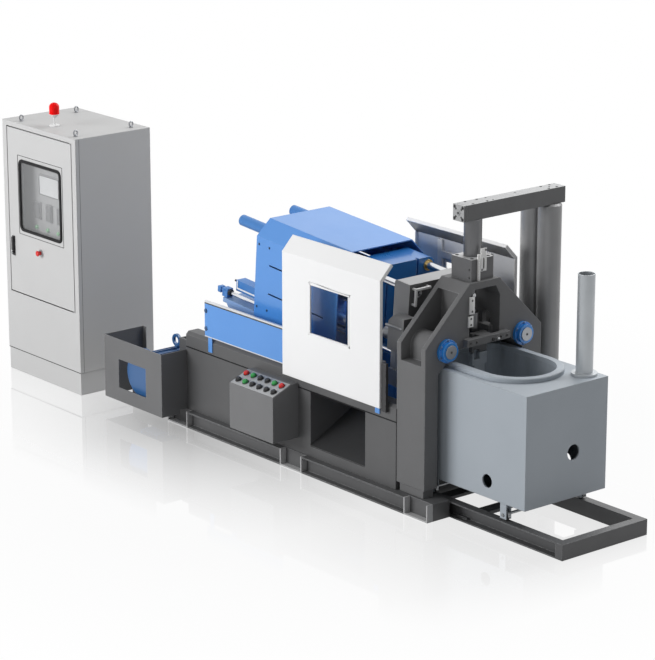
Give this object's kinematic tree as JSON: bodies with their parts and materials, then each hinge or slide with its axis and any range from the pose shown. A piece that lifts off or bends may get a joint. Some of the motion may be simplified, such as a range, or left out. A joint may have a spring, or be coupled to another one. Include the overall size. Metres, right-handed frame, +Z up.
{
  "type": "hot-chamber die casting machine",
  "caption": "Hot-chamber die casting machine with a tilted clamp unit, sliding guard doors, roll-out melting furnace, arched injection frame and a separate control cabinet",
  "frame": {"origin": "On the floor, on the machine's centre plane, under the middle of its base frame.", "axes": "X runs along the machine from the control cabinet towards the furnace, Y points to the back, away from the console, and Z points up."},
  "size_m": [5.304, 1.411, 1.964],
  "materials": {
    "base_paint": "semi-gloss machine grey",
    "pocket_paint": "pale grey, scuffed",
    "bed_paint": "semi-gloss dark grey",
    "chute_steel": "worn bare sheet",
    "guard_paint": "satin grey sheet",
    "motor_paint": "gloss blue",
    "console_paint": "satin dark grey",
    "red_plastic": "gloss",
    "green_plastic": "gloss",
    "black_plastic": "gloss",
    "blue_paint": "gloss machine blue",
    "pale_track": "white, worn bright by the rollers",
    "stop_paint": "satin black",
    "door_paint": "semi-gloss white",
    "clear_pane": "clear",
    "chrome_bar": "ground and hard chromed",
    "foot_paint": "pale blue-grey",
    "bush_bronze": "machined bronze",
    "platen_grey": "satin grey casting",
    "hook_white": "white",
    "frame_iron": "painted casting, dark grey",
    "block_iron": "machined, dark",
    "cylinder_steel": "ground, oiled",
    "manifold_steel": "milled, dark",
    "accumulator_paint": "satin dark grey",
    "sensor_plastic": "matt grey",
    "furnace_paint": "satin blue-grey",
    "pot_iron": "heat-stained casting",
    "flue_steel": "heat-stained tube",
    "wheel_steel": "worn bright on the tread",
    "rail_paint": "dark grey, worn",
    "cabinet_paint": "light grey, fine texture",
    "panel_paint": "light grey",
    "handle_black": "gloss",
    "eye_steel": "zinc plated",
    "beacon_white": "gloss",
    "beacon_red": "translucent"
  },
  "bodies": {
    "machine": {"base_frame": "base_paint", "fork_pockets": "pocket_paint", "bed_body": "bed_paint", "clamp_ways": "blue_paint", "chute_plate": "chute_steel", "bed_bands": "bed_paint", "oil_tank": "bed_paint", "pump_motor": "motor_paint", "motor_guard": "guard_paint", "console_box": "console_paint", "red_buttons": "red_plastic", "green_buttons": "green_plastic", "black_buttons": "black_plastic", "rail_panels": "blue_paint", "door_tracks": "pale_track", "door_stop": "stop_paint", "rear_platen": "blue_paint", "clamp_cover": "blue_paint", "tie_bars": "chrome_bar", "tie_bar_covers": "blue_paint", "clamp_foot": "foot_paint", "closing_cylinder": "blue_paint", "fixed_platen": "platen_grey", "hook_bar": "hook_white", "injection_frame": "frame_iron", "pull_rods": "cylinder_steel", "frame_nuts": "blue_paint", "injection_block": "block_iron", "shot_cylinder": "cylinder_steel", "plunger": "chrome_bar", "oil_manifold": "manifold_steel", "accumulators": "accumulator_paint", "accumulator_shelf": "frame_iron", "clamp_bar": "block_iron", "stroke_sensors": "sensor_plastic", "furnace_rails": "rail_paint", "cabinet_shell": "cabinet_paint", "instrument_panel": "panel_paint", "lifting_eyes": "eye_steel", "beacon_base": "beacon_white", "beacon_lamp": "beacon_red"},
    "front_door": {"front_door": "door_paint", "front_door_window": "clear_pane"},
    "rear_door": {"rear_door": "door_paint", "rear_door_window": "clear_pane"},
    "moving_platen": {"moving_platen": "blue_paint", "platen_bushings": "bush_bronze"},
    "furnace": {"furnace_shell": "furnace_paint", "melting_pot": "pot_iron", "pot_floor": "pot_iron", "pot_rim": "pot_iron", "gooseneck": "pot_iron", "flue": "flue_steel", "wheel_forks": "furnace_paint"},
    "inner_wheels": {"inner_wheels": "wheel_steel"},
    "outer_wheels": {"outer_wheels": "wheel_steel"},
    "cabinet_door": {"cabinet_door": "cabinet_paint", "cabinet_door_window": "clear_pane", "cabinet_handle": "handle_black"}
  },
  "joints": [
    {"name": "front_door_slide", "type": "slide", "parent": "machine", "child": "front_door", "axis": [-1, 0, 0], "range_m": [0, 0.7]},
    {"name": "rear_door_slide", "type": "slide", "parent": "machine", "child": "rear_door", "axis": [-1, 0, 0], "range_m": [0, 0.7]},
    {"name": "platen_slide", "type": "slide", "parent": "machine", "child": "moving_platen", "axis": [0.9973, 0, -0.0732], "range_m": [-0.25, 0.08]},
    {"name": "furnace_roll", "type": "slide", "parent": "machine", "child": "furnace", "axis": [1, 0, 0], "range_m": [0, 0.4]},
    {"name": "inner_wheels_turn", "type": "hinge", "parent": "furnace", "child": "inner_wheels", "pos_m": [1.12, 0, 0.135], "axis": [0, 1, 0], "continuous": true},
    {"name": "outer_wheels_turn", "type": "hinge", "parent": "furnace", "child": "outer_wheels", "pos_m": [1.766, 0, 0.135], "axis": [0, 1, 0], "continuous": true},
    {"name": "cabinet_door_swing", "type": "hinge", "parent": "machine", "child": "cabinet_door", "pos_m": [-2.189, -0.66, 1.171], "axis": [0, 0, 1], "range_deg": [0, 110]}
  ],
  "couplings": [
    {"joint": "inner_wheels_turn", "follows": "furnace_roll", "rad_per_m": 28.571},
    {"joint": "outer_wheels_turn", "follows": "furnace_roll", "rad_per_m": 28.571}
  ]
}
